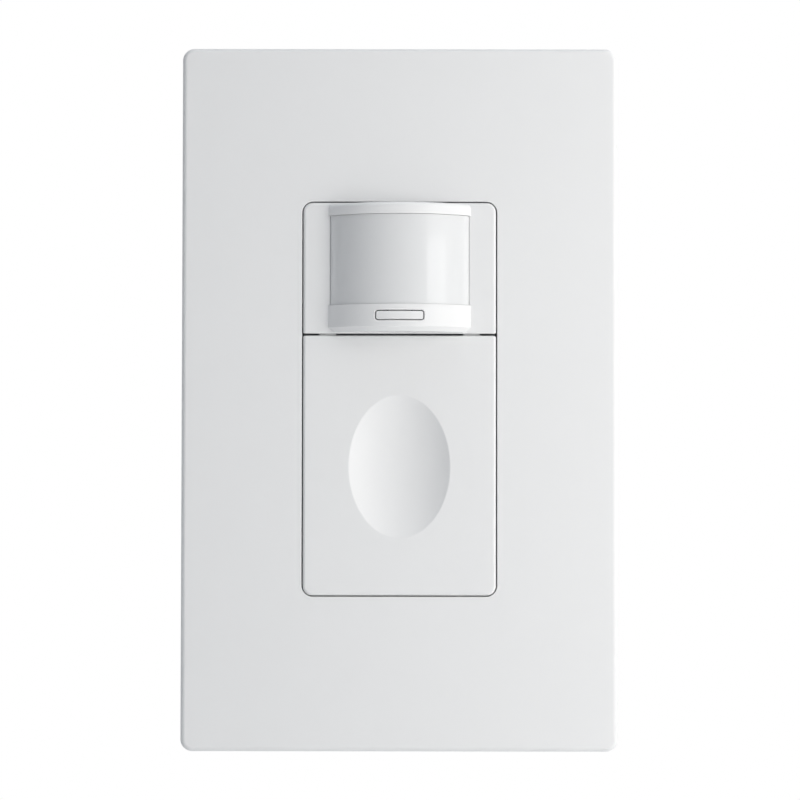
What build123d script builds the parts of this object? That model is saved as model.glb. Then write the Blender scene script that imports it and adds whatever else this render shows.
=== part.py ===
from build123d import *
import os
from math import cos, radians, sin, sqrt

# A motion sensor light switch for one gang of a wall box, behind a screwless wall plate.
# The wall surface is the plane y = 0, the front faces -Y and +Z is up. The origin is the
# middle of the mounting strap's back, halfway between the two wall box screws.
# A height is measured from the wall towards the room, a depth from the wall into the box.

# Clearances shared by pieces that fit together
overrun = 1.0
seat_gap = 0.05
loose_gap = 0.3
running_gap = 0.08

# Wall plate
plate_width = 74.3
plate_end_cover = 7.4
plate_depth = 7.6
plate_wall = 1.6
plate_skin = 1.8
plate_corner_r = 2.2
plate_edge_r = 0.85
plate_draft_degrees = 1.5
opening_width = 33.1
opening_height = 67.0
opening_corner_r = 1.9
opening_edge_r = 0.15
skirt_depth = 3.0
skirt_wall = 1.2
plate_rib_height = 1.4
plate_rib_width = 1.2
snap_reach = 1.1
snap_length = 9.0
snap_side_inset = 21.8
snap_end_inset = 17.15
pry_notch_width = 9.0
pry_notch_depth = 1.4

# Mounting strap, a steel stamping
strap_thickness = 1.3
strap_end_reach = 10.75
strap_side_inset = 0.75
strap_overhang = 1.0
strap_end_width = 23.0
ear_width = 38.0
ear_length = 8.0
ear_corner_r = 3.5
ear_groove_width = 0.8
ear_groove_depth = 0.5
strap_corner_r = 2.0
box_screw_gap = 8.15
box_slot_length = 7.6
box_slot_width = 4.3
frame_screw_inset = 4.0
window_side_gap = 0.9
window_end_gap = 0.96
window_corner_r = 1.5
ground_tab_depth = 8.0
ground_tab_length = 7.4
ground_tab_drop = 5.3

# Mounting frame, the sub-plate that the wall plate snaps onto
frame_thickness = 1.8
frame_edge_gap = 0.55
frame_corner_r = 2.0
frame_opening_gap = 1.7
frame_lip_height = 1.2
frame_lip_width = 1.2
flex_slot_width = 1.2
flex_slot_length = 15.0
flex_strip_width = 2.2

# Screws
box_screw_r = 1.75
box_neck_r = 1.45
box_screw_length = 23.0
box_head_r = 3.6
box_head_height = 1.7
frame_screw_r = 1.7
frame_screw_length = 6.0
frame_head_r = 3.2
countersink_degrees = 82
housing_screw_r = 1.1
housing_head_r = 2.2
housing_head_height = 1.4
drive_slot_width = 0.9
drive_slot_depth = 0.8
head_round_share = 0.55
retainer_size = 9.0
retainer_thickness = 0.4
retainer_corner_r = 0.8

# Front housing, with the bezel and the lens hood
face_gap = 0.2
face_proud = 0.3
face_skin = 1.6
face_corner_r = 1.6
face_edge_r = 0.5
housing_wall = 1.4
bezel_height = 22.25
bezel_edge_r = 0.2
step_wall = 1.3
floor_height = 3.4
floor_thickness = 1.2
hood_r = 15.35
hood_end_angle = 52.0
hood_wall = 1.1
hood_bottom_inset = 0.2
hood_top_inset = 0.3
hood_floor = 1.1
hood_roof = 1.0
hood_chamfer = 0.8
hood_top_round = 0.7
slot_edge_r = 0.15
boss_side_inset = 3.35
boss_end_inset = 3.5
boss_r = 2.2
boss_height = 4.6
floor_boss_r = 1.5
boss_skin = 0.5

# Lens, a thin curved sheet with a flange above and below
lower_band_height = 4.58
upper_band_height = 1.95
lens_inset = 0.3
lens_wall = 0.75
lens_flange_wall = 0.7
lens_flange_reach = 0.65
lens_rim_height = 0.8
lens_arc_degrees = 116
lens_cell_columns = 8
lens_cell_rows = 3
lens_groove_width = 0.5
lens_groove_depth = 0.25
retainer_wall = 0.95
retainer_band = 1.2
retainer_arc_degrees = 114
retainer_window_arc_degrees = 100
retainer_leg_width = 1.1
retainer_leg_length = 4.0
retainer_leg_low_rise = 2.0
retainer_leg_high_rise = 9.0

# Push pad
seam_gap = 0.35
pad_skin = 1.5
pad_wall = 1.3
pad_skirt_depth = 3.0
pad_edge_r = 0.35
dimple_drop = 0.2
dimple_width = 17.2
dimple_height = 24.2
dimple_depth = 2.1
dimple_wall = 1.3
dimple_rim_r = 0.5
hinge_rise = 2.45
hinge_height = 6.0
hinge_arm_x = 12.2
hinge_arm_width = 2.8
hinge_barrel_r = 0.9
hinge_stub_r = 0.62
hinge_stub_length = 1.9
hinge_lug_r = 1.1
latch_x = 8.0
latch_rise = 6.3
latch_width = 3.0
latch_thickness = 1.2
latch_nose_reach = 0.8
latch_nose_height = 1.0
latch_bite = 0.4
latch_nose_gap = 0.2
post_r = 1.4

# Mode button, a bar in the hood's lower band
button_rise = 2.66
button_width = 7.95
button_height = 1.4
button_gap = 0.16
button_corner_r = 0.35
button_edge_r = 0.15
button_flange_wall = 1.0
button_flange_reach = 0.7
button_stem_r = 0.85
mode_switch_offset = 0.34
guide_back_height = 7.4
guide_length = 2.0
guide_wall = 1.0

# Switches under the pad and behind the mode button
switch_size = 6.0
switch_height = 3.4
plunger_r = 1.6
plunger_proud = 0.8
plunger_inside = 1.2
plunger_travel = 0.6
plunger_edge_r = 0.2
touch_gap = 0.05

# Trimmers with their dials
trimmer_x = 6.2
trimmer_drop = 6.1
trimmer_size = 6.2
trimmer_height = 3.2
dial_r = 2.2
dial_proud = 0.5
dial_slot_width = 0.7
dial_slot_depth = 0.7
dial_pin_r = 0.8
dial_pin_length = 1.2
dial_hole_gap = 0.3

# Sensor board and what it carries
sheet_thickness = 0.4
board_thickness = 1.6
sensor_board_depth = 1.6
board_side_gap = 0.6
board_end_margin = 0.36
board_notch_gap = 0.3
pir_r = 4.1
pir_flange_r = 4.6
pir_flange_height = 0.6
pir_height = 4.2
pir_edge_r = 0.5
pir_window_width = 4.0
pir_window_height = 3.0
pir_window_thickness = 0.5
pir_recess = 0.3
pir_pin_r = 0.25
pir_pin_reach = 2.5
pir_pin_length = 2.6
pir_pin_count = 3
indicator_x = 7.6
led_r = 1.5
led_flange_r = 1.8
led_flange_height = 0.8
led_height = 4.2
dome_share = 0.9
cell_r = 1.6
cell_height = 2.6
chip_size = 7.0
chip_height = 1.4
chip_z = -2.0

# Rear housing, the tub in the wall box
tub_width = 43.5
tub_depth = 31.0
tub_corner_r = 3.0
tub_side_wall = 2.55
tub_end_wall = 2.2
tub_back_wall = 2.2
tub_back_edge_r = 1.2
column_r = 2.8
counterbore_r = 2.6
counterbore_depth = 2.2
ledge_reach = 3.4
ledge_length = 4.5
ledge_end_inset = 1.9
peg_side_inset = 2.8
peg_end_inset = 2.5
peg_post_r = 2.2
peg_r = 0.9
peg_gap = 0.1
peg_length = 2.2

# Terminals in the tub's side pockets
terminal_z = 14.0
terminal_depth = 10.0
pocket_length = 9.4
pocket_width = 8.4
pocket_corner_r = 0.8
pocket_depth = 5.55
pocket_floor_wall = 2.1
pocket_block_wall = 1.1
clamp_thickness = 1.0
clamp_length = 8.4
clamp_width = 7.4
clamp_tail_width = 3.0
clamp_tail_depth = 12.7
clamp_tail_gap = 0.1
terminal_screw_r = 1.7
terminal_head_r = 3.3
terminal_head_height = 1.8
terminal_screw_reach = 0.9
screw_stand_off = 1.3

# Power board and what it carries
power_board_depth = 16.0
power_board_end_gap = 0.5
relay_width = 20.2
relay_length = 16.4
relay_height = 10.8
relay_gap = 3.3
relay_edge_r = 0.4
film_cap_width = 17.5
film_cap_length = 9.0
film_cap_height = 11.0
film_cap_gap = 1.9
film_cap_edge_r = 0.8
can_cap_r = 4.0
can_cap_height = 11.5
can_cap_edge_r = 0.5
can_cap_gap = 1.3
can_cap_varistor_gap = 2.1
can_cap_rise = 7.5
can_cap_groove_height = 1.8
can_cap_groove_width = 0.6
can_cap_groove_depth = 0.35
varistor_gap = 2.2
varistor_r = 4.8
varistor_thickness = 4.0
varistor_lift = 0.8
varistor_lead_r = 0.4
varistor_lead_reach = 2.5
fuse_gap = 1.6
fuse_r = 1.8
fuse_length = 9.5
fuse_lift = 0.6
fuse_lead_r = 0.35
fuse_lead_reach = 1.4
choke_x = 6.0
choke_z = 8.0
choke_r = 4.6
choke_height = 8.0
choke_waist_r = 3.4
choke_flange_height = 1.4
rectifier_x = -8.0
rectifier_z = 9.0
rectifier_width = 8.4
rectifier_length = 6.4
rectifier_height = 3.2
connector_end_inset = 3.4
connector_width = 15.2
connector_length = 2.5

# Heights of the layers in front of the wall
frame_front = strap_thickness + frame_thickness
face_front = plate_depth + face_proud
hood_root = face_front - face_skin
floor_back = floor_height - floor_thickness

# Outline of the device's face, with the bezel above and the pad below
face_width = opening_width - 2 * face_gap
face_height = opening_height - 2 * face_gap
face_top = face_height / 2
bezel_bottom = face_top - bezel_height
boss_x = face_width / 2 - boss_side_inset
boss_z = face_top - boss_end_inset

# The hood is part of an upright cylinder. Its axis lies behind the bezel's face, so that the
# hood's two ends meet the face at the end angle.
hood_axis_y = hood_r * cos(radians(hood_end_angle)) - face_front
hood_inner_r = hood_r - hood_wall
hood_bottom = bezel_bottom + hood_bottom_inset
hood_top = face_top - hood_top_inset
hood_cavity_bottom = hood_bottom + hood_floor
hood_cavity_top = hood_top - hood_roof
lens_r = hood_r - lens_inset
lens_bottom = hood_bottom + lower_band_height
lens_top = hood_top - upper_band_height
lens_middle_z = (lens_bottom + lens_top) / 2
button_z = hood_bottom + button_rise

# Push pad, and the trimmers that it covers
pad_top = bezel_bottom - seam_gap
pad_back = face_front - pad_skirt_depth
pad_inner = face_front - pad_skin
hinge_z = bezel_bottom + hinge_rise
latch_z = latch_rise - face_top
trimmer_z = pad_top - trimmer_drop
dimple_z = (pad_top - face_top) / 2 - dimple_drop
dimple_back = face_front - dimple_depth - dimple_wall

# The dimple is cut by a spheroid that is round about its upright axis. The spheroid's radius
# follows from the dimple's width and depth, and its half length from the dimple's height.
dimple_cutter_r = ((dimple_width / 2) ** 2 + dimple_depth ** 2) / (2 * dimple_depth)
dimple_cutter_height = dimple_cutter_r - dimple_depth + face_front
dimple_stretch = (dimple_height / 2) / (dimple_width / 2)

# The strap reaches past the tub to the wall box screws, and the wall plate past the strap
tub_height = opening_height
box_screw_z = tub_height / 2 + box_screw_gap
strap_length = 2 * (box_screw_z + strap_end_reach)
strap_middle_width = tub_width - 2 * strap_side_inset
strap_middle_length = tub_height + 2 * strap_overhang
ground_tab_z = -strap_middle_length / 2 - ground_tab_drop
frame_screw_z = strap_length / 2 - frame_screw_inset
plate_height = strap_length + 2 * plate_end_cover
snap_side_z = plate_height / 2 - snap_side_inset
snap_end_x = plate_width / 2 - snap_end_inset

# The infrared sensor looks out at the lens's middle, through a window in the strap
pir_z = lens_middle_z
pir_reach_z = pir_z + pir_flange_r
window_width = 2 * (trimmer_x + trimmer_size / 2 + window_side_gap)
window_height = 2 * (pir_reach_z + window_end_gap)

# Switches: how far each body and plunger stands in front of the wall
switch_front = switch_height - sensor_board_depth
plunger_front = switch_front + plunger_proud
touch_height = plunger_front + touch_gap

# Inside of the tub, with the pockets for the terminals
tub_inner_width = tub_width - 2 * tub_side_wall
tub_inner_height = tub_height - 2 * tub_end_wall
tub_inner_depth = tub_depth - tub_back_wall
housing_seat_depth = tub_depth - counterbore_depth
housing_screw_tip = boss_height - boss_skin - loose_gap
pocket_floor_x = tub_width / 2 - pocket_depth
pocket_block_inner_x = pocket_floor_x - pocket_floor_wall

# The two boards
sensor_board_width = tub_inner_width - 2 * board_side_gap
sensor_board_height = 2 * (pir_reach_z + board_end_margin)
sensor_board_back = sensor_board_depth + board_thickness
power_board_width = 2 * (pocket_block_inner_x - loose_gap)
power_board_height = 2 * (boss_z - column_r - power_board_end_gap)
power_board_back = power_board_depth + board_thickness
ledge_top_z = sensor_board_height / 2 - ledge_end_inset
peg_x = power_board_width / 2 - peg_side_inset
peg_z = power_board_height / 2 - peg_end_inset

# The power board's parts stand in rows, from the connector at its foot upwards
connector_z = connector_end_inset - sensor_board_height / 2
can_cap_z = connector_z + can_cap_rise
varistor_x = pocket_block_inner_x - varistor_gap - varistor_thickness / 2
can_cap_right_x = varistor_x - varistor_thickness / 2 - can_cap_varistor_gap - can_cap_r
can_cap_left_x = can_cap_right_x - can_cap_gap - 2 * can_cap_r
relay_z = can_cap_z + can_cap_r + relay_gap + relay_length / 2
fuse_z = relay_z + relay_length / 2 + fuse_gap + fuse_r
film_cap_z = fuse_z + fuse_r + film_cap_gap + film_cap_length / 2

os.makedirs("parts", exist_ok=True)


def front_level(height):
    """Plane parallel to the wall at a height in front of it, looking towards the room."""
    return Plane.XZ.offset(height)


def inward_level(depth):
    """Plane parallel to the wall at a depth behind its surface, looking into the wall."""
    return Plane(origin=(0, depth, 0), x_dir=(1, 0, 0), z_dir=(0, 1, 0))


def slotted_screw(head_r, head_height, shank_r, shank_length):
    """Pan-head screw with a slot. Its seat is at z = 0, with the shank below."""
    with BuildPart() as screw:
        Cylinder(head_r, head_height, align=(Align.CENTER, Align.CENTER, Align.MIN))
        fillet(screw.edges().sort_by(Axis.Z)[-1], radius=head_height * head_round_share)
        with Locations((0, 0, head_height)):
            Box(
                2 * head_r + overrun, drive_slot_width, drive_slot_depth,
                align=(Align.CENTER, Align.CENTER, Align.MAX), mode=Mode.SUBTRACT,
            )
        Cylinder(shank_r, shank_length, align=(Align.CENTER, Align.CENTER, Align.MAX))
        chamfer(screw.edges().sort_by(Axis.Z)[0], length=shank_r / 3)
    return screw.part


def key_switch_body():
    """Body of a key switch, seated at z = 0 with the plunger's bore at its front."""
    with BuildPart() as body:
        Box(switch_size, switch_size, switch_height, align=(Align.CENTER, Align.CENTER, Align.MIN))
        with BuildSketch(Plane.XY.offset(switch_height)):
            Circle(plunger_r + running_gap)
        extrude(amount=-(plunger_inside + plunger_travel), mode=Mode.SUBTRACT)
    return body.part


def key_switch_plunger():
    """Round plunger of a key switch, with the switch's seat at z = 0."""
    with BuildPart() as plunger:
        with BuildSketch(Plane.XY.offset(switch_height - plunger_inside)):
            Circle(plunger_r)
        extrude(amount=plunger_inside + plunger_proud)
        fillet(plunger.edges().sort_by(Axis.Z)[-1], radius=plunger_edge_r)
    return plunger.part


def trimmer_body():
    """Square body of a trimmer, seated at z = 0, with a bore for the dial's pin."""
    with BuildPart() as body:
        Box(trimmer_size, trimmer_size, trimmer_height, align=(Align.CENTER, Align.CENTER, Align.MIN))
        with BuildSketch(Plane.XY.offset(trimmer_height)):
            Circle(dial_pin_r + running_gap)
        extrude(amount=-(dial_pin_length + loose_gap), mode=Mode.SUBTRACT)
    return body.part


def trimmer_dial(dial_height):
    """Slotted dial above a trimmer's body, whose seat is at z = 0."""
    with BuildPart() as dial:
        with BuildSketch(Plane.XY.offset(trimmer_height + running_gap)):
            Circle(dial_r)
        extrude(amount=dial_height)
        with BuildSketch(Plane.XY.offset(trimmer_height + running_gap + dial_height)):
            Rectangle(2 * dial_r + overrun, dial_slot_width)
        extrude(amount=-dial_slot_depth, mode=Mode.SUBTRACT)
        with BuildSketch(Plane.XY.offset(trimmer_height + running_gap)):
            Circle(dial_pin_r)
        extrude(amount=-(dial_pin_length + running_gap))
    return dial.part


# Wall plate: an open box with rounded front edges and a skirt around the device's opening.
# Short ridges near its rim snap behind the edge of the mounting frame.
plate_ceiling = plate_depth - plate_skin
plate_inner_width = plate_width - 2 * plate_wall
plate_inner_height = plate_height - 2 * plate_wall
snap_front = strap_thickness - seat_gap * 2
snap_back = snap_front / 4
with BuildPart() as wall_plate:
    with BuildSketch(front_level(0)):
        RectangleRounded(plate_width, plate_height, plate_corner_r)
    extrude(amount=plate_depth, taper=plate_draft_degrees)
    fillet(wall_plate.faces().sort_by(Axis.Y)[0].edges(), radius=plate_edge_r)
    with BuildSketch(front_level(0)):
        RectangleRounded(plate_inner_width, plate_inner_height, plate_corner_r / 2)
    extrude(amount=plate_ceiling, taper=plate_draft_degrees, mode=Mode.SUBTRACT)
    with BuildSketch(front_level(plate_depth - skirt_depth)):
        RectangleRounded(
            opening_width + 2 * skirt_wall, opening_height + 2 * skirt_wall,
            opening_corner_r + skirt_wall,
        )
    extrude(amount=skirt_depth - plate_skin)
    with BuildSketch(front_level(plate_ceiling - plate_rib_height)):
        with GridLocations(0, (opening_height + plate_inner_height) / 2, 1, 2):
            Rectangle(opening_width, plate_rib_width)
    extrude(amount=plate_rib_height)
    with BuildSketch(front_level(0)):
        RectangleRounded(opening_width, opening_height, opening_corner_r)
    extrude(amount=plate_depth + overrun, mode=Mode.SUBTRACT)
    fillet(wall_plate.faces().sort_by(Axis.Y)[0].inner_wires()[0].edges(), radius=opening_edge_r)
    with BuildSketch(front_level(snap_back)):
        with GridLocations(plate_inner_width + plate_wall - snap_reach, 2 * snap_side_z, 2, 2):
            Rectangle(snap_reach + plate_wall, snap_length)
        with GridLocations(2 * snap_end_x, plate_inner_height + plate_wall - snap_reach, 2, 2):
            Rectangle(snap_length, snap_reach + plate_wall)
    extrude(amount=snap_front - snap_back)
    with BuildSketch(front_level(0)):
        with Locations((0, -plate_height / 2)):
            Rectangle(pry_notch_width, 4 * plate_wall)
    extrude(amount=pry_notch_depth, mode=Mode.SUBTRACT)
wall_plate.part.label = "wall_plate"
export_step(wall_plate.part, "parts/wall_plate.step")


# Mounting frame: a flat sub-plate on the strap, with a lip around the device and spring
# strips beside the eight places where the wall plate snaps on.
frame_width = plate_inner_width - 2 * frame_edge_gap
frame_height = plate_inner_height - 2 * frame_edge_gap
frame_opening_width = face_width + 2 * frame_opening_gap
frame_opening_height = face_height + 2 * frame_opening_gap
with BuildPart() as mounting_frame:
    with BuildSketch(front_level(strap_thickness)):
        RectangleRounded(frame_width, frame_height, frame_corner_r)
    extrude(amount=frame_thickness)
    with BuildSketch(front_level(frame_front)):
        RectangleRounded(
            frame_opening_width + 2 * frame_lip_width, frame_opening_height + 2 * frame_lip_width,
            frame_corner_r,
        )
    extrude(amount=frame_lip_height)
    with BuildSketch(front_level(strap_thickness)):
        RectangleRounded(frame_opening_width, frame_opening_height, frame_corner_r / 2)
        with GridLocations(0, 2 * box_screw_z, 1, 2):
            Circle(box_head_r + loose_gap)
        with GridLocations(frame_width - 2 * flex_strip_width, 2 * snap_side_z, 2, 2):
            SlotOverall(flex_slot_length, flex_slot_width, rotation=90)
        with GridLocations(2 * snap_end_x, frame_height - 2 * flex_strip_width, 2, 2):
            SlotOverall(flex_slot_length, flex_slot_width)
    extrude(amount=frame_thickness + frame_lip_height, mode=Mode.SUBTRACT)
    with Locations(front_level(frame_front)):
        with GridLocations(0, 2 * frame_screw_z, 1, 2):
            CounterSinkHole(
                frame_screw_r + loose_gap / 2, frame_head_r + loose_gap / 2,
                depth=frame_thickness + overrun, counter_sink_angle=countersink_degrees,
            )
mounting_frame.part.label = "mounting_frame"
export_step(mounting_frame.part, "parts/mounting_frame.step")


# Frame screws: countersunk screws through the mounting frame into the strap's tapped holes.
frame_head_height = (frame_head_r - frame_screw_r) / (
    sin(radians(countersink_degrees / 2)) / cos(radians(countersink_degrees / 2))
)
with BuildPart() as frame_screws:
    with BuildSketch(front_level(frame_front)):
        with GridLocations(0, 2 * frame_screw_z, 1, 2):
            Circle(frame_head_r)
    extrude(amount=-frame_head_height, taper=countersink_degrees / 2)
    with BuildSketch(front_level(frame_front - frame_screw_length)):
        with GridLocations(0, 2 * frame_screw_z, 1, 2):
            Circle(frame_screw_r)
    extrude(amount=frame_screw_length - frame_head_height / 2)
    with BuildSketch(front_level(frame_front)):
        with GridLocations(0, 2 * frame_screw_z, 1, 2):
            Rectangle(2 * frame_head_r + overrun, drive_slot_width)
    extrude(amount=-drive_slot_depth, mode=Mode.SUBTRACT)
frame_screws.part.label = "frame_screws"
export_step(frame_screws.part, "parts/frame_screws.step")


# Mounting strap: the steel yoke. Its two ends carry plaster ears that snap off along a groove,
# slots for the wall box screws and tapped holes for the frame screws. A tab at the lower left
# is bent back into the box for the ground screw.
with BuildPart() as mounting_strap:
    with BuildSketch(front_level(0)):
        RectangleRounded(strap_middle_width, strap_middle_length, strap_corner_r)
        Rectangle(strap_end_width, strap_length)
        with GridLocations(0, strap_length - ear_length, 1, 2):
            RectangleRounded(ear_width, ear_length, ear_corner_r)
        RectangleRounded(window_width, window_height, window_corner_r, mode=Mode.SUBTRACT)
        with GridLocations(0, 2 * box_screw_z, 1, 2):
            SlotOverall(box_slot_length, box_slot_width, mode=Mode.SUBTRACT)
        with GridLocations(0, 2 * frame_screw_z, 1, 2):
            Circle(frame_screw_r + seat_gap, mode=Mode.SUBTRACT)
        with GridLocations(2 * boss_x, 2 * boss_z, 2, 2):
            Circle(housing_screw_r + loose_gap / 2, mode=Mode.SUBTRACT)
    extrude(amount=strap_thickness)
    with BuildSketch(front_level(strap_thickness)):
        with GridLocations(strap_end_width, strap_length - ear_length, 2, 2):
            Rectangle(ear_groove_width, ear_length + overrun)
    extrude(amount=-ear_groove_depth, mode=Mode.SUBTRACT)
    with BuildSketch(Plane.YZ.offset(-strap_end_width / 2)):
        with Locations((-strap_thickness, ground_tab_z)):
            Rectangle(
                strap_thickness + ground_tab_depth, ground_tab_length,
                align=(Align.MIN, Align.CENTER),
            )
        with Locations((ground_tab_depth / 2, ground_tab_z)):
            Circle(terminal_screw_r + seat_gap, mode=Mode.SUBTRACT)
    extrude(amount=-strap_thickness)
    bend_edges = mounting_strap.edges().filter_by(Axis.Z).filter_by(
        lambda edge: abs(edge.length - ground_tab_length) < edge.length / 100
    )
    fillet(bend_edges.sort_by(Axis.Y)[0], radius=strap_thickness * head_round_share)
mounting_strap.part.label = "mounting_strap"
export_step(mounting_strap.part, "parts/mounting_strap.step")


# Box screws. Each has a thinner neck in the strap's slot, and a small fibre washer on the
# neck behind the strap holds the screw captive.
box_neck_length = strap_thickness + retainer_thickness + seat_gap
with BuildPart() as box_screw:
    add(slotted_screw(box_head_r, box_head_height, box_screw_r, box_screw_length))
    with BuildSketch():
        Circle(box_screw_r + overrun)
        Circle(box_neck_r, mode=Mode.SUBTRACT)
    extrude(amount=-box_neck_length, mode=Mode.SUBTRACT)
with BuildPart() as box_screws:
    with Locations(front_level(strap_thickness)):
        with GridLocations(0, 2 * box_screw_z, 1, 2):
            add(box_screw.part)
box_screws.part.label = "box_screws"
export_step(box_screws.part, "parts/box_screws.step")

with BuildPart() as screw_retainers:
    with BuildSketch(inward_level(0)):
        with GridLocations(0, 2 * box_screw_z, 1, 2):
            RectangleRounded(retainer_size, retainer_size, retainer_corner_r)
            Circle(box_neck_r + seat_gap, mode=Mode.SUBTRACT)
    extrude(amount=retainer_thickness)
screw_retainers.part.label = "screw_retainers"
export_step(screw_retainers.part, "parts/screw_retainers.step")


# Ground screw, threaded through the strap's bent tab.
ground_tab_face = strap_end_width / 2 + strap_thickness
ground_screw_reach = strap_thickness + terminal_screw_reach + screw_stand_off
ground_fastener = slotted_screw(
    terminal_head_r, terminal_head_height, terminal_screw_r, ground_screw_reach,
)
with BuildPart() as ground_screw:
    ground_seat = Plane(
        origin=(-ground_tab_face, ground_tab_depth / 2, ground_tab_z),
        x_dir=(0, 1, 0), z_dir=(-1, 0, 0),
    )
    with Locations(ground_seat):
        add(ground_fastener)
ground_screw.part.label = "ground_screw"
export_step(ground_screw.part, "parts/ground_screw.step")


# Hood: the solid form of the half-round lens hood, before it is hollowed.
with BuildPart() as hood_form:
    with BuildSketch(Plane.XY.offset(hood_bottom)):
        with Locations((0, hood_axis_y)):
            Circle(hood_r)
        with Locations((0, -hood_root)):
            Rectangle(
                4 * hood_r, 4 * hood_r,
                align=(Align.CENTER, Align.MIN), mode=Mode.SUBTRACT,
            )
    extrude(amount=hood_top - hood_bottom)
    hood_arcs = hood_form.edges().filter_by(GeomType.CIRCLE).sort_by(Axis.Z)
    chamfer(hood_arcs[0], length=hood_chamfer)
    fillet(hood_arcs[-1], radius=hood_top_round)


# Front housing: one moulding with the raised bezel above, the floor under the pad below and
# a step wall between them. The hood stands on the bezel with its lower and upper bands, and
# the lens looks out between the bands.
hinge_slot_width = hinge_arm_width + 2 * loose_gap
hinge_slot_front = hinge_height + hinge_barrel_r + seat_gap * 3
hinge_slot_back = hinge_height - hinge_barrel_r - loose_gap * 2
hinge_slot_top = hinge_z + hinge_barrel_r + loose_gap
hinge_lug_outer_x = hinge_arm_x - hinge_arm_width / 2 - loose_gap
hinge_lug_width = hinge_stub_length + seat_gap * 2
cavity_width = face_width - 2 * housing_wall
cavity_top = face_top - housing_wall
cavity_step = bezel_bottom + step_wall
latch_slot_top = latch_z + latch_thickness / 2 + loose_gap
latch_slot_bottom = latch_z - latch_thickness / 2 - latch_nose_reach + latch_bite
with BuildPart() as front_housing:
    with BuildSketch(front_level(strap_thickness)):
        RectangleRounded(face_width, face_height, face_corner_r)
    extrude(amount=face_front - strap_thickness)
    fillet(front_housing.faces().sort_by(Axis.Y)[0].edges(), radius=face_edge_r)
    with BuildSketch(front_level(floor_height)):
        with Locations((0, bezel_bottom)):
            Rectangle(
                face_width + overrun, face_height,
                align=(Align.CENTER, Align.MAX),
            )
    extrude(amount=face_front, mode=Mode.SUBTRACT)
    bezel_face = front_housing.faces().sort_by(Axis.Y)[0]
    fillet(bezel_face.edges().sort_by(Axis.Z)[0], radius=bezel_edge_r)
    add(hood_form.part)
    # The hollow behind the floor, then the deeper one behind the bezel
    with BuildSketch(front_level(strap_thickness)):
        Rectangle(cavity_width, 2 * cavity_top)
    extrude(amount=floor_back - strap_thickness, mode=Mode.SUBTRACT)
    with BuildSketch(front_level(strap_thickness)):
        with Locations((0, cavity_step)):
            Rectangle(cavity_width, cavity_top - cavity_step, align=(Align.CENTER, Align.MIN))
    extrude(amount=hood_root - strap_thickness, mode=Mode.SUBTRACT)
    # The hollow inside the hood and the lens window
    with BuildSketch(Plane.XY.offset(hood_cavity_bottom)):
        with Locations((0, hood_axis_y)):
            Circle(hood_inner_r)
        with Locations((0, -hood_root + face_skin / 2)):
            Rectangle(
                4 * hood_r, 4 * hood_r,
                align=(Align.CENTER, Align.MIN), mode=Mode.SUBTRACT,
            )
    extrude(amount=hood_cavity_top - hood_cavity_bottom, mode=Mode.SUBTRACT)
    with BuildSketch(front_level(face_front)):
        with Locations((0, lens_bottom)):
            Rectangle(2 * hood_r, lens_top - lens_bottom, align=(Align.CENTER, Align.MIN))
    extrude(amount=hood_r, mode=Mode.SUBTRACT)
    with BuildSketch(Plane.XY.offset(lens_bottom)):
        with Locations((0, hood_axis_y)):
            Circle(lens_r + seat_gap * 2)
        with Locations((0, -hood_root + face_skin / 2)):
            Rectangle(
                4 * hood_r, 4 * hood_r,
                align=(Align.CENTER, Align.MIN), mode=Mode.SUBTRACT,
            )
    extrude(amount=lens_top - lens_bottom, mode=Mode.SUBTRACT)
    # The slot for the mode button and the guide for its stem
    with BuildSketch(front_level(hood_root)):
        with Locations((0, button_z)):
            RectangleRounded(
                button_width + 2 * button_gap, button_height + 2 * button_gap,
                button_corner_r + button_gap,
            )
    extrude(amount=hood_r, mode=Mode.SUBTRACT)
    slotted_band = front_housing.faces().filter_by(GeomType.CYLINDER).filter_by(
        lambda face: len(face.inner_wires()) == 1 and abs(face.radius - hood_r) < running_gap
    )
    fillet(slotted_band[0].inner_wires()[0].edges(), radius=slot_edge_r)
    with BuildSketch(front_level(guide_back_height)):
        with Locations((0, hood_cavity_bottom)):
            Rectangle(
                2 * (button_stem_r + running_gap + guide_wall),
                button_z + button_stem_r + running_gap + guide_wall / 2 - hood_cavity_bottom,
                align=(Align.CENTER, Align.MIN),
            )
        with Locations((0, button_z)):
            Circle(button_stem_r + running_gap, mode=Mode.SUBTRACT)
    extrude(amount=guide_length)
    # Screw bosses in the four corners, the lower two also in front of the floor
    with BuildSketch(front_level(strap_thickness)):
        with GridLocations(2 * boss_x, 2 * boss_z, 2, 2):
            Circle(boss_r)
        Rectangle(face_width, 2 * cavity_top, mode=Mode.INTERSECT)
    extrude(amount=floor_height - strap_thickness)
    with BuildSketch(front_level(floor_height - seat_gap)):
        with Locations((-boss_x, boss_z), (boss_x, boss_z)):
            Circle(boss_r)
        Rectangle(face_width, 2 * cavity_top, mode=Mode.INTERSECT)
        with Locations((-boss_x, -boss_z), (boss_x, -boss_z)):
            Circle(floor_boss_r)
    extrude(amount=boss_height - floor_height + seat_gap)
    with BuildSketch(front_level(strap_thickness)):
        with GridLocations(2 * boss_x, 2 * boss_z, 2, 2):
            Circle(housing_screw_r + seat_gap)
    extrude(amount=boss_height - boss_skin - strap_thickness, mode=Mode.SUBTRACT)
    # Holes in the floor for the pad's post, the two dials and the pad's latch arms
    with BuildSketch(front_level(floor_back)):
        with Locations((0, dimple_z)):
            Circle(plunger_r + loose_gap)
        with Locations((-trimmer_x, trimmer_z), (trimmer_x, trimmer_z)):
            Circle(dial_r + dial_hole_gap)
        with Locations((-latch_x, latch_slot_bottom), (latch_x, latch_slot_bottom)):
            Rectangle(
                latch_width + 2 * loose_gap, latch_slot_top - latch_slot_bottom,
                align=(Align.CENTER, Align.MIN),
            )
    extrude(amount=floor_thickness, mode=Mode.SUBTRACT)
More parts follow.
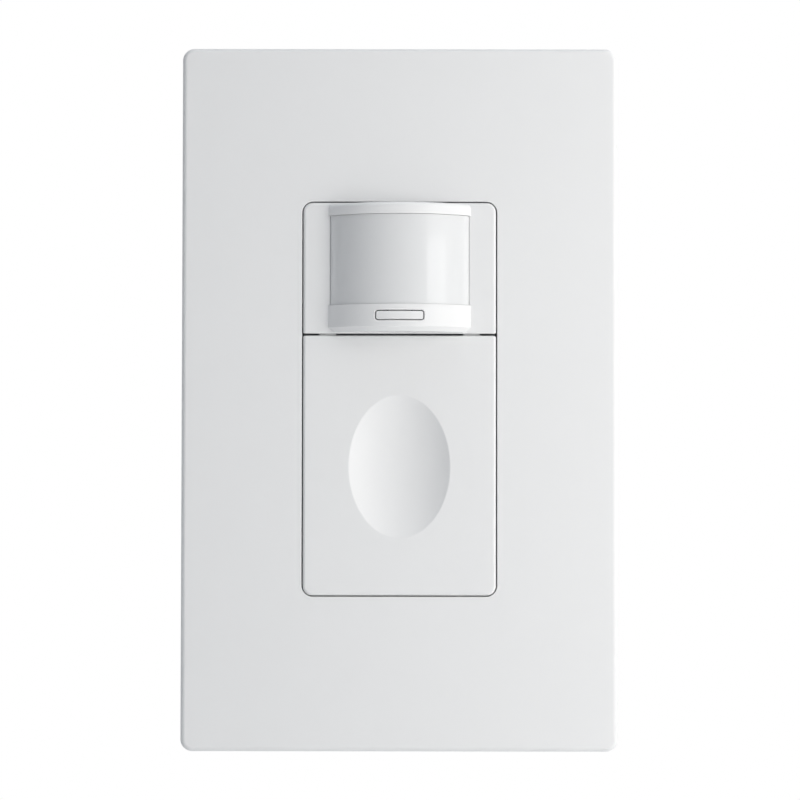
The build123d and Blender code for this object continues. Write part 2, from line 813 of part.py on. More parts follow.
    # Slots for the pad's hinge arms, with a bored lug beside each
    with BuildSketch(front_level(hinge_slot_back)):
        with Locations((-hinge_arm_x, bezel_bottom), (hinge_arm_x, bezel_bottom)):
            Rectangle(
                hinge_slot_width, 2 * (hinge_slot_top - bezel_bottom),
            )
    extrude(amount=hinge_slot_front - hinge_slot_back, mode=Mode.SUBTRACT)
    for side in (-1, 1):
        with BuildSketch(Plane.YZ.offset(side * hinge_lug_outer_x)):
            with Locations((-hinge_height, hinge_z)):
                Circle(hinge_lug_r)
            with Locations((-hinge_height, cavity_step)):
                Rectangle(
                    2 * hinge_lug_r, hinge_z - cavity_step,
                    align=(Align.CENTER, Align.MIN),
                )
            with Locations((-hinge_height, hinge_z)):
                Circle(hinge_stub_r + running_gap, mode=Mode.SUBTRACT)
        extrude(amount=-side * hinge_lug_width)
front_housing.part.label = "front_housing"
export_step(front_housing.part, "parts/front_housing.step")


def hood_profile_plane(half_arc_degrees):
    """Upright plane through the hood's axis at one end of an arc about the front."""
    start = radians(-90 - half_arc_degrees)
    return Plane(
        origin=(0, hood_axis_y, 0),
        x_dir=(cos(start), sin(start), 0),
        z_dir=(sin(start), -cos(start), 0),
    )


hood_axis = Axis((0, hood_axis_y, 0), (0, 0, 1))

# Lens: a thin sheet bent about the hood's axis, smooth outside. Its flanges lie behind the
# hood's bands. Inside, fine grooves part the sheet into rows and columns of lens cells.
lens_inner_r = lens_r - lens_wall
lens_flange_r = hood_inner_r - seat_gap
lens_flange_inner_r = lens_flange_r - lens_flange_wall
lens_height = lens_top - lens_bottom - 2 * seat_gap
lens_cell_angle = lens_arc_degrees / lens_cell_columns
lens_half_arc = lens_arc_degrees / 2
with BuildPart() as lens:
    with BuildSketch(hood_profile_plane(lens_half_arc)):
        with Locations((lens_inner_r, lens_middle_z)):
            Rectangle(lens_wall, lens_height, align=(Align.MIN, Align.CENTER))
        with Locations((lens_flange_inner_r, lens_middle_z)):
            with GridLocations(0, lens_height - lens_rim_height, 1, 2):
                Rectangle(lens_r - lens_flange_inner_r, lens_rim_height, align=(Align.MIN, Align.CENTER))
            with GridLocations(0, lens_height + lens_flange_reach - lens_rim_height, 1, 2):
                Rectangle(
                    lens_flange_wall, lens_flange_reach + lens_rim_height,
                    align=(Align.MIN, Align.CENTER),
                )
    revolve(axis=hood_axis, revolution_arc=lens_arc_degrees)
    with BuildSketch(hood_profile_plane(lens_half_arc + overrun)):
        with Locations((lens_inner_r, lens_middle_z)):
            with GridLocations(0, lens_height / lens_cell_rows, 1, lens_cell_rows - 1):
                Rectangle(2 * lens_groove_depth, lens_groove_width)
    revolve(axis=hood_axis, revolution_arc=lens_arc_degrees + 2 * overrun, mode=Mode.SUBTRACT)
    with Locations((0, hood_axis_y, lens_middle_z)):
        with PolarLocations(
            lens_inner_r, lens_cell_columns - 1,
            start_angle=lens_cell_angle - 90 - lens_half_arc,
            angular_range=lens_cell_angle * (lens_cell_columns - 1),
        ):
            Box(
                2 * lens_groove_depth, lens_groove_width, lens_height - 2 * lens_rim_height,
                mode=Mode.SUBTRACT,
            )
lens.part.label = "lens"
export_step(lens.part, "parts/lens.step")


# Lens retainer: a bent frame that presses the lens against the hood's bands. Four legs
# reach back to the strap, which clamps it in place.
retainer_outer_r = lens_flange_inner_r - seat_gap
retainer_inner_r = retainer_outer_r - retainer_wall
retainer_height = lens_height + 2 * lens_flange_reach
retainer_end_x = retainer_inner_r * sin(radians(retainer_arc_degrees / 2))
retainer_end_height = retainer_inner_r * cos(radians(retainer_arc_degrees / 2)) - hood_axis_y
with BuildPart() as lens_retainer:
    with BuildSketch(hood_profile_plane(retainer_arc_degrees / 2)):
        with Locations((retainer_inner_r, lens_middle_z)):
            Rectangle(retainer_wall, retainer_height, align=(Align.MIN, Align.CENTER))
    revolve(axis=hood_axis, revolution_arc=retainer_arc_degrees)
    with BuildSketch(hood_profile_plane(retainer_window_arc_degrees / 2)):
        with Locations((retainer_inner_r - overrun, lens_middle_z)):
            Rectangle(
                retainer_wall + 2 * overrun, retainer_height - 2 * retainer_band,
                align=(Align.MIN, Align.CENTER),
            )
    revolve(axis=hood_axis, revolution_arc=retainer_window_arc_degrees, mode=Mode.SUBTRACT)
    with BuildSketch(front_level(strap_thickness)):
        for side in (-1, 1):
            for leg_rise in (retainer_leg_low_rise, retainer_leg_high_rise):
                with Locations((side * (retainer_end_x + retainer_leg_width / 4), lens_bottom + leg_rise)):
                    Rectangle(retainer_leg_width, retainer_leg_length)
    extrude(amount=retainer_end_height - strap_thickness + retainer_wall / 2)
lens_retainer.part.label = "lens_retainer"
export_step(lens_retainer.part, "parts/lens_retainer.step")


# Push pad: a cap with shallow skirts. The oval dimple bulges on its inner side, and a post
# under the dimple reaches for the switch. Two arms at its top edge run under the bezel to
# short stubs, on which it tilts, and two latch arms near its foot hook behind the floor.
def dimple_spheroid(growth):
    """Front dimple's spheroid, larger all round by the growth."""
    with BuildPart() as spheroid:
        with BuildSketch(Plane.YZ):
            with Locations((-dimple_cutter_height, dimple_z)):
                Ellipse(dimple_cutter_r + growth, dimple_cutter_r * dimple_stretch + growth)
                Rectangle(
                    4 * dimple_cutter_r, 4 * dimple_cutter_r * dimple_stretch,
                    align=(Align.MAX, Align.CENTER), mode=Mode.SUBTRACT,
                )
        revolve(axis=Axis((0, -dimple_cutter_height, 0), (0, 0, 1)))
    return spheroid.part


dimple_hollow = dimple_spheroid(0)
with BuildPart() as dimple_bulge:
    add(dimple_spheroid(dimple_wall))
    split(bisect_by=front_level(pad_inner + pad_skin / 2), keep=Keep.BOTTOM)

latch_nose_front = floor_back - latch_nose_gap
latch_end = latch_nose_front - latch_nose_height
with BuildPart() as push_pad:
    with BuildSketch(front_level(pad_back)):
        RectangleRounded(face_width, face_height, face_corner_r)
    extrude(amount=pad_skirt_depth)
    fillet(push_pad.faces().sort_by(Axis.Y)[0].edges(), radius=face_edge_r)
    with BuildSketch(front_level(pad_back - overrun)):
        with Locations((0, pad_top)):
            Rectangle(face_width + overrun, face_height, align=(Align.CENTER, Align.MIN))
    extrude(amount=pad_skirt_depth + 2 * overrun, mode=Mode.SUBTRACT)
    fillet(push_pad.faces().sort_by(Axis.Y)[0].edges().sort_by(Axis.Z)[-1], radius=pad_edge_r)
    with BuildSketch(front_level(pad_back)):
        with Locations((0, pad_wall - face_top)):
            Rectangle(
                face_width - 2 * pad_wall, pad_top + face_top - 2 * pad_wall,
                align=(Align.CENTER, Align.MIN),
            )
    extrude(amount=pad_skirt_depth - pad_skin, mode=Mode.SUBTRACT)
    add(dimple_bulge.part)
    add(dimple_hollow, mode=Mode.SUBTRACT)
    fillet(push_pad.faces().sort_by(Axis.Y)[0].inner_wires()[0].edges(), radius=dimple_rim_r)
    with BuildSketch(front_level(touch_height)):
        with Locations((0, dimple_z)):
            Circle(post_r)
    extrude(amount=dimple_back + dimple_wall / 2 - touch_height)
    with BuildSketch(front_level(latch_end)):
        with Locations((-latch_x, latch_z), (latch_x, latch_z)):
            Rectangle(latch_width, latch_thickness)
    extrude(amount=pad_inner + pad_skin / 2 - latch_end)
    with BuildSketch(front_level(latch_end)):
        latch_foot_z = latch_z - latch_thickness / 2
        with Locations((-latch_x, latch_foot_z), (latch_x, latch_foot_z)):
            Rectangle(latch_width, 2 * latch_nose_reach)
    extrude(amount=latch_nose_height)
    for side in (-1, 1):
        with BuildSketch(Plane.YZ.offset(side * (hinge_arm_x - hinge_arm_width / 2))):
            with Locations((-hinge_height, hinge_z)):
                Circle(hinge_barrel_r)
            with Locations((-hinge_height, pad_top - pad_wall / 2)):
                Rectangle(
                    2 * hinge_barrel_r, hinge_z - pad_top + pad_wall / 2,
                    align=(Align.CENTER, Align.MIN),
                )
        extrude(amount=side * hinge_arm_width)
        with BuildSketch(Plane.YZ.offset(side * (hinge_arm_x - hinge_arm_width / 2))):
            with Locations((-hinge_height, hinge_z)):
                Circle(hinge_stub_r)
        extrude(amount=-side * (hinge_stub_length + loose_gap))
push_pad.part.label = "push_pad"
export_step(push_pad.part, "parts/push_pad.step")


# Mode button: a bar whose face continues the hood's curve, with a flange behind the hood's
# wall and a round stem that runs in the housing's guide.
button_flange_r = hood_inner_r - seat_gap * 2
button_flange_inner_r = button_flange_r - button_flange_wall
button_foot_z = button_z - button_height / 2
with BuildPart() as mode_button:
    with BuildSketch(Plane.XY.offset(button_foot_z)):
        with Locations((0, hood_axis_y)):
            Circle(hood_r)
            Circle(button_flange_inner_r, mode=Mode.SUBTRACT)
            Rectangle(
                button_width, 2 * hood_r,
                align=(Align.CENTER, Align.MAX), mode=Mode.INTERSECT,
            )
    extrude(amount=button_height)
    fillet(mode_button.edges().filter_by(Axis.Y), radius=button_corner_r)
    with BuildSketch(Plane.XY.offset(button_foot_z - button_flange_reach)):
        with Locations((0, hood_axis_y)):
            Circle(button_flange_r)
            Circle(button_flange_inner_r, mode=Mode.SUBTRACT)
            Rectangle(
                button_width + 2 * button_flange_reach, 2 * hood_r,
                align=(Align.CENTER, Align.MAX), mode=Mode.INTERSECT,
            )
    extrude(amount=button_height + button_flange_reach)
    fillet(mode_button.faces().sort_by(Axis.Y)[0].edges(), radius=button_edge_r)
    with BuildSketch(front_level(touch_height)):
        with Locations((0, button_z)):
            Circle(button_stem_r)
    extrude(amount=button_flange_inner_r + button_flange_wall / 2 - hood_axis_y - touch_height)
mode_button.part.label = "mode_button"
export_step(mode_button.part, "parts/mode_button.step")


# Switches: one under the pad's post and one behind the mode button's stem.
sensor_face = front_level(-sensor_board_depth)
switch_form = key_switch_body()
plunger_form = key_switch_plunger()
for name, switch_z in (("pad_switch", dimple_z), ("mode_switch", button_z + mode_switch_offset)):
    with BuildPart() as switch_body:
        with Locations(sensor_face):
            with Locations((0, switch_z)):
                add(switch_form)
    switch_body.part.label = name + "_body"
    export_step(switch_body.part, "parts/" + name + "_body.step")
    with BuildPart() as switch_plunger:
        with Locations(sensor_face):
            with Locations((0, switch_z)):
                add(plunger_form)
    switch_plunger.part.label = name + "_plunger"
    export_step(switch_plunger.part, "parts/" + name + "_plunger.step")


# Trimmers: the time delay on the left and the light level on the right. Their slotted dials
# stand in holes of the floor, under the pad.
dial_height = floor_height + dial_proud - (trimmer_height - sensor_board_depth) - running_gap
trimmer_form = trimmer_body()
dial_form = trimmer_dial(dial_height)
for name, setting_x in (("time", -trimmer_x), ("light", trimmer_x)):
    with BuildPart() as setting_body:
        with Locations(sensor_face):
            with Locations((setting_x, trimmer_z)):
                add(trimmer_form)
    setting_body.part.label = name + "_trimmer_body"
    export_step(setting_body.part, "parts/" + name + "_trimmer_body.step")
    with BuildPart() as setting_dial:
        with Locations(sensor_face):
            with Locations((setting_x, trimmer_z)):
                add(dial_form)
    setting_dial.part.label = name + "_dial"
    export_step(setting_dial.part, "parts/" + name + "_dial.step")


# Insulating sheet: fibre, flat on the strap's back, cut out like the strap.
with BuildPart() as insulating_sheet:
    with BuildSketch(inward_level(0)):
        Rectangle(tub_inner_width - 2 * loose_gap, tub_inner_height - 2 * loose_gap)
        RectangleRounded(window_width, window_height, window_corner_r, mode=Mode.SUBTRACT)
        with GridLocations(2 * boss_x, 2 * boss_z, 2, 2):
            Circle(column_r + loose_gap, mode=Mode.SUBTRACT)
    extrude(amount=sheet_thickness)
insulating_sheet.part.label = "insulating_sheet"
export_step(insulating_sheet.part, "parts/insulating_sheet.step")


# Sensor board: notched around the tub's screw columns and bored for the sensor's pins.
with BuildPart() as sensor_board:
    with BuildSketch(inward_level(sensor_board_depth)):
        Rectangle(sensor_board_width, sensor_board_height)
        with GridLocations(2 * boss_x, 2 * boss_z, 2, 2):
            Circle(column_r + board_notch_gap, mode=Mode.SUBTRACT)
    extrude(amount=board_thickness)
    with BuildSketch(sensor_face):
        with Locations((0, pir_z)):
            with PolarLocations(pir_pin_reach, pir_pin_count, start_angle=90):
                Circle(pir_pin_r + seat_gap)
    extrude(amount=-board_thickness, mode=Mode.SUBTRACT)
sensor_board.part.label = "sensor_board"
export_step(sensor_board.part, "parts/sensor_board.step")


# Passive infrared sensor: a metal can with a flange, a dark window let into its front, and
# three pins through the board.
with BuildPart() as pir_can:
    with BuildSketch(sensor_face):
        with Locations((0, pir_z)):
            Circle(pir_flange_r)
    extrude(amount=pir_flange_height)
    with BuildSketch(sensor_face):
        with Locations((0, pir_z)):
            Circle(pir_r)
    extrude(amount=pir_height)
    fillet(pir_can.edges().sort_by(Axis.Y)[0], radius=pir_edge_r)
    with BuildSketch(sensor_face.offset(pir_height)):
        with Locations((0, pir_z)):
            Rectangle(pir_window_width, pir_window_height)
    extrude(amount=-(pir_recess + pir_window_thickness), mode=Mode.SUBTRACT)
pir_can.part.label = "pir_can"
export_step(pir_can.part, "parts/pir_can.step")

with BuildPart() as pir_window:
    with BuildSketch(sensor_face.offset(pir_height - pir_recess)):
        with Locations((0, pir_z)):
            Rectangle(pir_window_width - 2 * seat_gap, pir_window_height - 2 * seat_gap)
    extrude(amount=-pir_window_thickness)
pir_window.part.label = "pir_window"
export_step(pir_window.part, "parts/pir_window.step")

with BuildPart() as pir_pins:
    with BuildSketch(sensor_face):
        with Locations((0, pir_z)):
            with PolarLocations(pir_pin_reach, pir_pin_count, start_angle=90):
                Circle(pir_pin_r)
    extrude(amount=-pir_pin_length)
pir_pins.part.label = "pir_pins"
export_step(pir_pins.part, "parts/pir_pins.step")


# Status lamp on one side of the sensor and the photocell on the other.
with BuildPart() as status_led:
    with BuildSketch(sensor_face):
        with Locations((indicator_x, pir_z)):
            Circle(led_flange_r)
    extrude(amount=led_flange_height)
    with BuildSketch(sensor_face):
        with Locations((indicator_x, pir_z)):
            Circle(led_r)
    extrude(amount=led_height)
    fillet(status_led.edges().sort_by(Axis.Y)[0], radius=led_r * dome_share)
status_led.part.label = "status_led"
export_step(status_led.part, "parts/status_led.step")

with BuildPart() as photocell:
    with BuildSketch(sensor_face):
        with Locations((-indicator_x, pir_z)):
            Circle(cell_r)
    extrude(amount=cell_height)
    chamfer(photocell.edges().sort_by(Axis.Y)[0], length=cell_r / 4)
photocell.part.label = "photocell"
export_step(photocell.part, "parts/photocell.step")


# Controller chip on the back of the sensor board.
with BuildPart() as controller_chip:
    with BuildSketch(inward_level(sensor_board_back)):
        with Locations((0, -chip_z)):
            Rectangle(chip_size, chip_size)
    extrude(amount=chip_height)
    chamfer(controller_chip.faces().sort_by(Axis.Y)[-1].edges(), length=chip_height / 4)
controller_chip.part.label = "controller_chip"
export_step(controller_chip.part, "parts/controller_chip.step")


# Rear housing: the tub behind the strap. Four columns carry the long screws, ledges carry
# the sensor board and pegs the power board. Pockets in its sides hold the terminals: line
# and load on one side, neutral on the other.
terminals = (("line", 1, terminal_z), ("load", 1, -terminal_z), ("neutral", -1, terminal_z))
block_depth_front = terminal_depth - pocket_width / 2 - pocket_block_wall
block_depth_back = terminal_depth + pocket_width / 2 + pocket_block_wall
tub_side_x = tub_width / 2
tub_inner_x = tub_inner_width / 2
with BuildPart() as rear_housing:
    with BuildSketch(inward_level(0)):
        RectangleRounded(tub_width, tub_height, tub_corner_r)
    extrude(amount=tub_depth)
    fillet(rear_housing.faces().sort_by(Axis.Y)[-1].edges(), radius=tub_back_edge_r)
    with BuildSketch(inward_level(0)):
        Rectangle(tub_inner_width, tub_inner_height)
    extrude(amount=tub_inner_depth, mode=Mode.SUBTRACT)
    with BuildSketch(inward_level(0)):
        with GridLocations(2 * boss_x, 2 * boss_z, 2, 2):
            Circle(column_r)
        Rectangle(tub_inner_width + tub_side_wall, tub_inner_height + tub_end_wall, mode=Mode.INTERSECT)
    extrude(amount=tub_inner_depth + tub_back_wall / 2)
    with BuildSketch(inward_level(sensor_board_back)):
        ledge_spacing_x = tub_inner_width - ledge_reach + tub_side_wall / 2
        with GridLocations(ledge_spacing_x, 2 * ledge_top_z - ledge_length, 2, 2):
            Rectangle(ledge_reach + tub_side_wall / 2, ledge_length)
    extrude(amount=tub_inner_depth - sensor_board_back + tub_back_wall / 2)
    with BuildSketch(inward_level(power_board_back)):
        with GridLocations(2 * peg_x, 2 * peg_z, 2, 2):
            Circle(peg_post_r)
    extrude(amount=tub_inner_depth - power_board_back + tub_back_wall / 2)
    with BuildSketch(inward_level(power_board_back - peg_length)):
        with GridLocations(2 * peg_x, 2 * peg_z, 2, 2):
            Circle(peg_r)
    extrude(amount=peg_length + peg_post_r)
    for name, side, pocket_z in terminals:
        with BuildSketch(inward_level(block_depth_front)):
            with Locations((side * pocket_block_inner_x, -pocket_z)):
                Rectangle(
                    tub_inner_x - pocket_block_inner_x + tub_side_wall / 2,
                    pocket_length + 2 * pocket_block_wall,
                    align=(Align.MIN if side > 0 else Align.MAX, Align.CENTER),
                )
        extrude(amount=block_depth_back - block_depth_front)
        with BuildSketch(Plane.YZ.offset(side * pocket_floor_x)):
            with Locations((terminal_depth, pocket_z)):
                RectangleRounded(pocket_width, pocket_length, pocket_corner_r)
        extrude(amount=side * (tub_side_x - pocket_floor_x + overrun), mode=Mode.SUBTRACT)
        with BuildSketch(Plane.YZ.offset(side * pocket_floor_x)):
            with Locations((terminal_depth, pocket_z)):
                Circle(terminal_screw_r + clamp_tail_gap)
        extrude(amount=-side * (terminal_screw_reach + loose_gap), mode=Mode.SUBTRACT)
        with BuildSketch(Plane.YZ.offset(side * pocket_floor_x)):
            with Locations((clamp_tail_depth, pocket_z)):
                Rectangle(
                    clamp_thickness + 2 * clamp_tail_gap, clamp_tail_width + 2 * clamp_tail_gap,
                )
        extrude(amount=-side * (pocket_floor_x - pocket_block_inner_x + overrun), mode=Mode.SUBTRACT)
    with Locations(inward_level(tub_depth)):
        with GridLocations(2 * boss_x, 2 * boss_z, 2, 2):
            CounterBoreHole(housing_screw_r + loose_gap / 2, counterbore_r, counterbore_depth)
rear_housing.part.label = "rear_housing"
export_step(rear_housing.part, "parts/rear_housing.step")


# Housing screws: four long screws from the tub's back into the front housing's bosses.
housing_screw = slotted_screw(
    housing_head_r, housing_head_height, housing_screw_r, housing_seat_depth + housing_screw_tip,
)
with BuildPart() as housing_screws:
    with Locations(inward_level(housing_seat_depth)):
        with GridLocations(2 * boss_x, 2 * boss_z, 2, 2):
            add(housing_screw)
housing_screws.part.label = "housing_screws"
export_step(housing_screws.part, "parts/housing_screws.step")


# Terminals: a brass clamp plate on each pocket's floor, with a tail that runs through the
# wall and bends down onto the power board. The screw stands a little open for the wire.
tail_leg_x = pocket_block_inner_x - clamp_tail_gap * 2
for name, side, pocket_z in terminals:
    with BuildPart() as terminal:
        with BuildSketch(Plane.YZ.offset(side * pocket_floor_x)):
            with Locations((terminal_depth, pocket_z)):
                Rectangle(clamp_width, clamp_length)
                Circle(terminal_screw_r + seat_gap, mode=Mode.SUBTRACT)
        extrude(amount=side * clamp_thickness)
        with BuildSketch(Plane.YZ.offset(side * (pocket_floor_x + clamp_thickness / 2))):
            with Locations((clamp_tail_depth, pocket_z)):
                Rectangle(clamp_thickness, clamp_tail_width)
        extrude(amount=-side * (pocket_floor_x + clamp_thickness / 2 - tail_leg_x))
        with BuildSketch(Plane.YZ.offset(side * tail_leg_x)):
            with Locations((clamp_tail_depth - clamp_thickness / 2, pocket_z)):
                Rectangle(
                    power_board_depth - clamp_tail_depth + clamp_thickness / 2, clamp_tail_width,
                    align=(Align.MIN, Align.CENTER),
                )
        extrude(amount=-side * clamp_thickness)
    terminal.part.label = name + "_terminal"
    export_step(terminal.part, "parts/" + name + "_terminal.step")

screw_seat_x = pocket_floor_x + clamp_thickness + screw_stand_off
terminal_fastener = slotted_screw(
    terminal_head_r, terminal_head_height, terminal_screw_r,
    screw_seat_x - pocket_floor_x + terminal_screw_reach,
)
with BuildPart() as terminal_screws:
    right_seat = Plane(origin=(screw_seat_x, terminal_depth, 0), x_dir=(0, 1, 0), z_dir=(1, 0, 0))
    with Locations(right_seat):
        with GridLocations(0, 2 * terminal_z, 1, 2):
            add(terminal_fastener)
terminal_screws.part.label = "terminal_screws"
export_step(terminal_screws.part, "parts/terminal_screws.step")

with BuildPart() as neutral_screw:
    left_seat = Plane(
        origin=(-screw_seat_x, terminal_depth, terminal_z), x_dir=(0, 1, 0), z_dir=(-1, 0, 0),
    )
    with Locations(left_seat):
        add(terminal_fastener)
neutral_screw.part.label = "neutral_screw"
export_step(neutral_screw.part, "parts/neutral_screw.step")


# Power board: it sits on the tub's posts, located by their pegs.
with BuildPart() as power_board:
    with BuildSketch(inward_level(power_board_depth)):
        Rectangle(power_board_width, power_board_height)
        with GridLocations(2 * peg_x, 2 * peg_z, 2, 2):
            Circle(peg_r + peg_gap, mode=Mode.SUBTRACT)
    extrude(amount=board_thickness)
power_board.part.label = "power_board"
export_step(power_board.part, "parts/power_board.step")


# Parts on the front of the power board
power_face = front_level(-power_board_depth)
with BuildPart() as relay:
    with BuildSketch(power_face):
        with Locations((0, relay_z)):
            Rectangle(relay_width, relay_length)
    extrude(amount=relay_height)
    fillet(relay.edges().filter_by(Axis.Y), radius=relay_edge_r)
    chamfer(relay.faces().sort_by(Axis.Y)[0].edges(), length=relay_edge_r)
relay.part.label = "relay"
export_step(relay.part, "parts/relay.step")

with BuildPart() as film_capacitor:
    with BuildSketch(power_face):
        with Locations((0, film_cap_z)):
            Rectangle(film_cap_width, film_cap_length)
    extrude(amount=film_cap_height)
    fillet(film_capacitor.edges().filter_by(Axis.Y), radius=film_cap_edge_r)
film_capacitor.part.label = "film_capacitor"
export_step(film_capacitor.part, "parts/film_capacitor.step")

with BuildPart() as electrolytic_capacitors:
    with BuildSketch(power_face):
        with Locations((can_cap_left_x, can_cap_z), (can_cap_right_x, can_cap_z)):
            Circle(can_cap_r)
    extrude(amount=can_cap_height)
    fillet(
        electrolytic_capacitors.edges().group_by(Axis.Y)[0], radius=can_cap_edge_r,
    )
    with BuildSketch(power_face.offset(can_cap_groove_height)):
        with Locations((can_cap_left_x, can_cap_z), (can_cap_right_x, can_cap_z)):
            Circle(can_cap_r + overrun)
            Circle(can_cap_r - can_cap_groove_depth, mode=Mode.SUBTRACT)
    extrude(amount=can_cap_groove_width, mode=Mode.SUBTRACT)
electrolytic_capacitors.part.label = "electrolytic_capacitors"
export_step(electrolytic_capacitors.part, "parts/electrolytic_capacitors.step")

varistor_depth = power_board_depth - varistor_lift - varistor_r
with BuildPart() as varistor:
    with BuildSketch(Plane.YZ.offset(varistor_x - varistor_thickness / 2)):
        with Locations((varistor_depth, can_cap_z)):
            Circle(varistor_r)
    extrude(amount=varistor_thickness)
    fillet(varistor.edges().filter_by(GeomType.CIRCLE), radius=varistor_thickness / 3)
    with BuildSketch(power_face):
        with Locations((varistor_x, can_cap_z)):
            with GridLocations(0, 2 * varistor_lead_reach, 1, 2):
                Circle(varistor_lead_r)
    extrude(amount=varistor_lift + varistor_r)
varistor.part.label = "varistor"
export_step(varistor.part, "parts/varistor.step")

fuse_depth = power_board_depth - fuse_lift - fuse_r
with BuildPart() as fuse_resistor:
    with BuildSketch(Plane.YZ.offset(-fuse_length / 2)):
        with Locations((fuse_depth, fuse_z)):
            Circle(fuse_r)
    extrude(amount=fuse_length)
    fillet(fuse_resistor.edges().filter_by(GeomType.CIRCLE), radius=fuse_r / 3)
    with BuildSketch(Plane.YZ.offset(-fuse_length / 2 - fuse_lead_reach)):
        with Locations((fuse_depth, fuse_z)):
            Circle(fuse_lead_r)
    extrude(amount=fuse_length + 2 * fuse_lead_reach)
    with BuildSketch(power_face):
        with Locations((0, fuse_z)):
            with GridLocations(fuse_length + 2 * fuse_lead_reach - 2 * fuse_lead_r, 0, 2, 1):
                Circle(fuse_lead_r)
    extrude(amount=power_board_depth - fuse_depth + fuse_lead_r)
fuse_resistor.part.label = "fuse_resistor"
export_step(fuse_resistor.part, "parts/fuse_resistor.step")


# Parts on the back of the power board
with BuildPart() as filter_choke:
    with BuildSketch(inward_level(power_board_back)):
        with Locations((choke_x, -choke_z)):
            Circle(choke_r)
    extrude(amount=choke_height)
    with BuildSketch(inward_level(power_board_back + choke_flange_height)):
        with Locations((choke_x, -choke_z)):
            Circle(choke_r + overrun)
            Circle(choke_waist_r, mode=Mode.SUBTRACT)
    extrude(amount=choke_height - 2 * choke_flange_height, mode=Mode.SUBTRACT)
filter_choke.part.label = "filter_choke"
export_step(filter_choke.part, "parts/filter_choke.step")

with BuildPart() as bridge_rectifier:
    with BuildSketch(inward_level(power_board_back)):
        with Locations((rectifier_x, -rectifier_z)):
            Rectangle(rectifier_width, rectifier_length)
    extrude(amount=rectifier_height)
    chamfer(bridge_rectifier.faces().sort_by(Axis.Y)[-1].edges(), length=rectifier_height / 8)
bridge_rectifier.part.label = "bridge_rectifier"
export_step(bridge_rectifier.part, "parts/bridge_rectifier.step")


# Board connector: the header between the two boards.
with BuildPart() as board_connector:
    with BuildSketch(inward_level(sensor_board_back)):
        with Locations((0, -connector_z)):
            Rectangle(connector_width, connector_length)
    extrude(amount=power_board_depth - sensor_board_back)
    with BuildSketch(inward_level(sensor_board_back + connector_length)):
        with Locations((0, -connector_z)):
            with GridLocations(0, connector_length, 1, 2):
                Rectangle(connector_width - connector_length, connector_length / 2)
    extrude(
        amount=power_board_depth - sensor_board_back - 2 * connector_length, mode=Mode.SUBTRACT,
    )
board_connector.part.label = "board_connector"
export_step(board_connector.part, "parts/board_connector.step")
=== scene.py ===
from math import radians

import bpy
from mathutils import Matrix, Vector


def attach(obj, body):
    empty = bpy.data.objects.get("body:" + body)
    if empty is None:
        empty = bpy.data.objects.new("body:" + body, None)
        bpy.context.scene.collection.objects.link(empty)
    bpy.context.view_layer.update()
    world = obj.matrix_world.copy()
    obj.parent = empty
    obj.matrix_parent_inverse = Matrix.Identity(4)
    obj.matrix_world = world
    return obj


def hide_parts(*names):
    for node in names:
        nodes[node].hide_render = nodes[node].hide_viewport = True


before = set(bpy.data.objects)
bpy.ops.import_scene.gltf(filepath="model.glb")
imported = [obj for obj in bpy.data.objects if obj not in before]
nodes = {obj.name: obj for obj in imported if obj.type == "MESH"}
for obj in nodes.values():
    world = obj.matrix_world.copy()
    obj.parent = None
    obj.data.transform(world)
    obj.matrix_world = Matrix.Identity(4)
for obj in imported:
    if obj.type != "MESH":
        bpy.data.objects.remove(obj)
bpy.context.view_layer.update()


# The wall plate is a screwless snap-on cover, moulded in white polycarbonate. Its satin face
# carries a very fine eroded grain, and its colour is even, with a faint cloudiness.
class Signal:
    """A shader socket or a number, so that sums of them add the Math nodes they need."""

    def __init__(self, finish, source):
        self.finish, self.source = finish, source

    def _math(self, operation, a, b):
        return self.finish.node("ShaderNodeMath", {"operation": operation}, [a, b])

    def __add__(self, other):
        return self._math("ADD", self, other)

    def __radd__(self, other):
        return self._math("ADD", other, self)

    def __sub__(self, other):
        return self._math("SUBTRACT", self, other)

    def __rsub__(self, other):
        return self._math("SUBTRACT", other, self)

    def __mul__(self, other):
        return self._math("MULTIPLY", self, other)

    def __rmul__(self, other):
        return self._math("MULTIPLY", other, self)

    def __gt__(self, other):
        return self._math("GREATER_THAN", self, other)

    def __lt__(self, other):
        return self._math("LESS_THAN", self, other)

    def highest(self, other):
        """The larger of this signal and another."""
        return self._math("MAXIMUM", self, other)

    def beside(self, output):
        """Another output of the same node."""
        return Signal(self.finish, self.source.node.outputs[output])


class Nodes:
    """The shader nodes of one material, or of the world."""

    def __init__(self, tree):
        self.tree = tree

    def feed(self, socket, value):
        """Gives a socket a plain value or a link."""
        if isinstance(value, Signal):
            self.tree.links.new(value.source, socket)
        else:
            socket.default_value = value

    def node(self, kind, settings, values, output=0):
        """Adds a node with its settings, fills its sockets and returns one of its outputs."""
        made = self.tree.nodes.new(kind)
        for name, value in settings.items():
            if name == "stops":
                ramp = made.color_ramp
                while len(ramp.elements) < len(value):
                    ramp.elements.new(1.0)
                for element, (position, color) in zip(ramp.elements, value):
                    element.position, element.color = position, color
            else:
                setattr(made, name, value)
        pairs = values.items() if isinstance(values, dict) else enumerate(values)
        for socket, value in pairs:
            self.feed(made.inputs[socket], value)
        return Signal(self, made.outputs[output])


